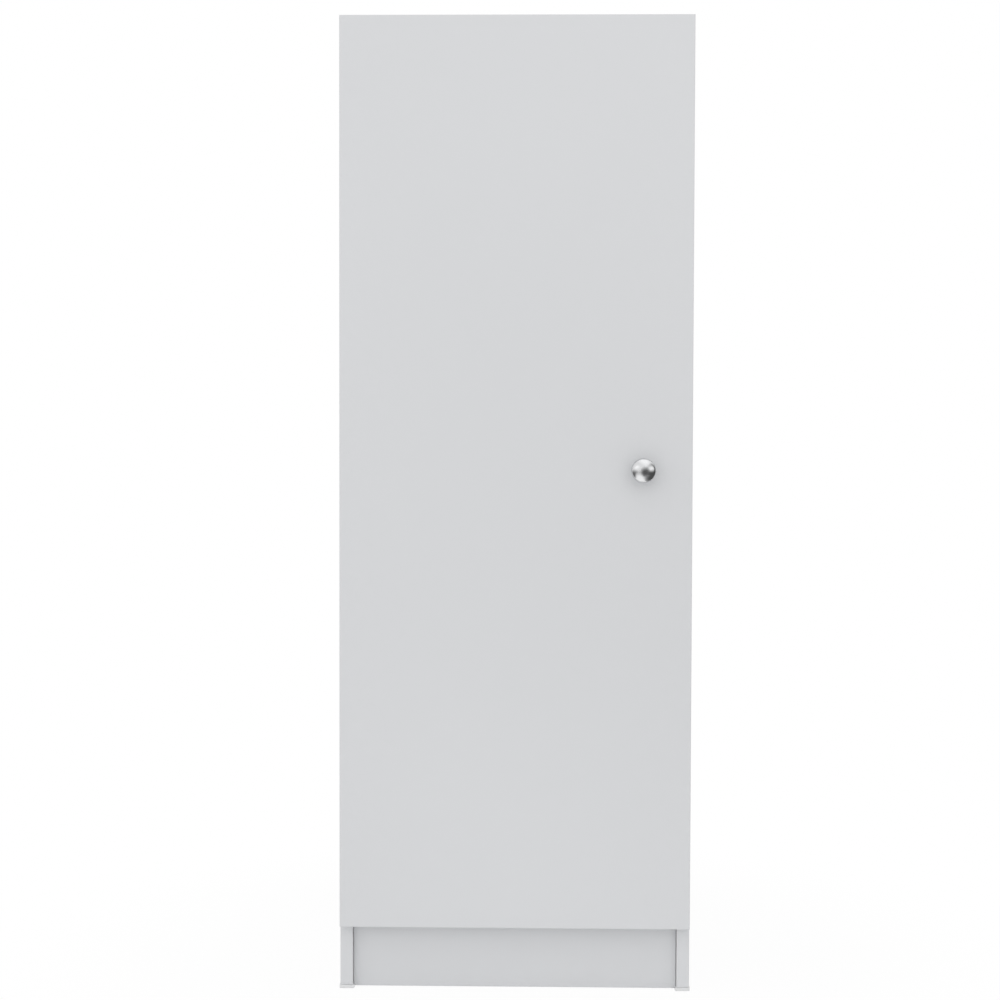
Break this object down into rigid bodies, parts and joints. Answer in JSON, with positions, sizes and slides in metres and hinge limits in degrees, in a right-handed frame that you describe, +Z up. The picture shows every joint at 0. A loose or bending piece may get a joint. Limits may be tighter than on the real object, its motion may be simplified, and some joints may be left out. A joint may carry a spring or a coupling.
{
  "type": "broom cupboard",
  "caption": "Tall narrow broom cupboard with a plain slab door on concealed hinges, a round chrome knob, a toe kick, a broom bay with clips and a bay of shelves.",
  "frame": {"origin": "on the floor, at the middle of the width and of the depth from the knob's front to the back panel", "axes": "+X to the right as seen from the front, +Y from the door to the back, +Z up"},
  "size_m": [0.502, 0.398, 1.383],
  "materials": {
    "melamine_board": "light grey-white melamine face, slightly textured, satin",
    "door_board": "light grey-white melamine face, satin",
    "hardboard": "white-lacquered hardboard",
    "knob_chrome": "polished chrome plating",
    "zinc_steel": "bright zinc plating",
    "zinc_casting": "plain die casting",
    "nickel_steel": "nickel-plated pressed steel",
    "white_metal": "white powder coat",
    "white_plastic": "white moulded plastic",
    "grey_plastic": "grey moulded plastic",
    "glide_plastic": "white moulded plastic",
    "beech": "plain beech",
    "bumper_rubber": "clear soft rubber"
  },
  "bodies": {
    "carcass": {"side_panel_left": "melamine_board", "side_panel_right": "melamine_board", "top_panel": "melamine_board", "bottom_panel": "melamine_board", "kick_board": "melamine_board", "partition_panel": "melamine_board", "shelf_1": "melamine_board", "shelf_2": "melamine_board", "shelf_3": "melamine_board", "shelf_4": "melamine_board", "back_panel": "hardboard", "bracket_screws": "zinc_steel", "rail_screws": "zinc_steel", "clip_screws": "zinc_steel", "shelf_pins": "zinc_steel", "back_nails": "zinc_steel", "glide_nails": "zinc_steel", "cam_bolts": "zinc_steel", "cam_housings": "zinc_casting", "cam_caps": "white_plastic", "dowels": "beech", "wall_bracket_left": "zinc_steel", "wall_bracket_right": "zinc_steel", "broom_rail": "white_metal", "broom_clip_1": "grey_plastic", "broom_clip_2": "grey_plastic", "broom_clip_3": "grey_plastic", "floor_glide_left_front": "glide_plastic", "floor_glide_left_back": "glide_plastic", "floor_glide_right_front": "glide_plastic", "floor_glide_right_back": "glide_plastic", "hinge_plate_lower": "nickel_steel", "hinge_arm_lower": "nickel_steel", "hinge_plate_middle": "nickel_steel", "hinge_arm_middle": "nickel_steel", "hinge_plate_upper": "nickel_steel", "hinge_arm_upper": "nickel_steel", "hinge_arm_rivets": "nickel_steel", "hinge_plate_screws": "nickel_steel", "hinge_arm_screws": "nickel_steel"},
    "outer_links": {"outer_link_lower": "nickel_steel", "outer_link_middle": "nickel_steel", "outer_link_upper": "nickel_steel"},
    "inner_links": {"inner_link_lower": "nickel_steel", "inner_link_middle": "nickel_steel", "inner_link_upper": "nickel_steel"},
    "door": {"door_panel": "door_board", "knob": "knob_chrome", "knob_screw": "zinc_steel", "door_bumpers": "bumper_rubber", "hinge_cup_rivets": "nickel_steel", "hinge_cup_screws": "nickel_steel", "hinge_cup_lower": "nickel_steel", "hinge_cup_middle": "nickel_steel", "hinge_cup_upper": "nickel_steel"}
  },
  "joints": [
    {"name": "outer_link_pivot", "type": "hinge", "parent": "carcass", "child": "outer_links", "pos_m": [-0.2156, -0.143, 0.738], "axis": [0, 0, 1], "range_deg": [0, 39.5]},
    {"name": "door_hinge", "type": "hinge", "parent": "outer_links", "child": "door", "pos_m": [-0.2366, -0.156, 0.738], "axis": [0, 0, -1], "range_deg": [0, 129.4]},
    {"name": "inner_link_pivot", "type": "hinge", "parent": "carcass", "child": "inner_links", "pos_m": [-0.2171, -0.16, 0.738], "axis": [0, 0, 1], "range_deg": [0, 54]}
  ],
  "couplings": [
    {"joint": "outer_link_pivot", "follows": "door_hinge", "ratio": 0.30459},
    {"joint": "inner_link_pivot", "follows": "door_hinge", "ratio": 0.41655}
  ]
}
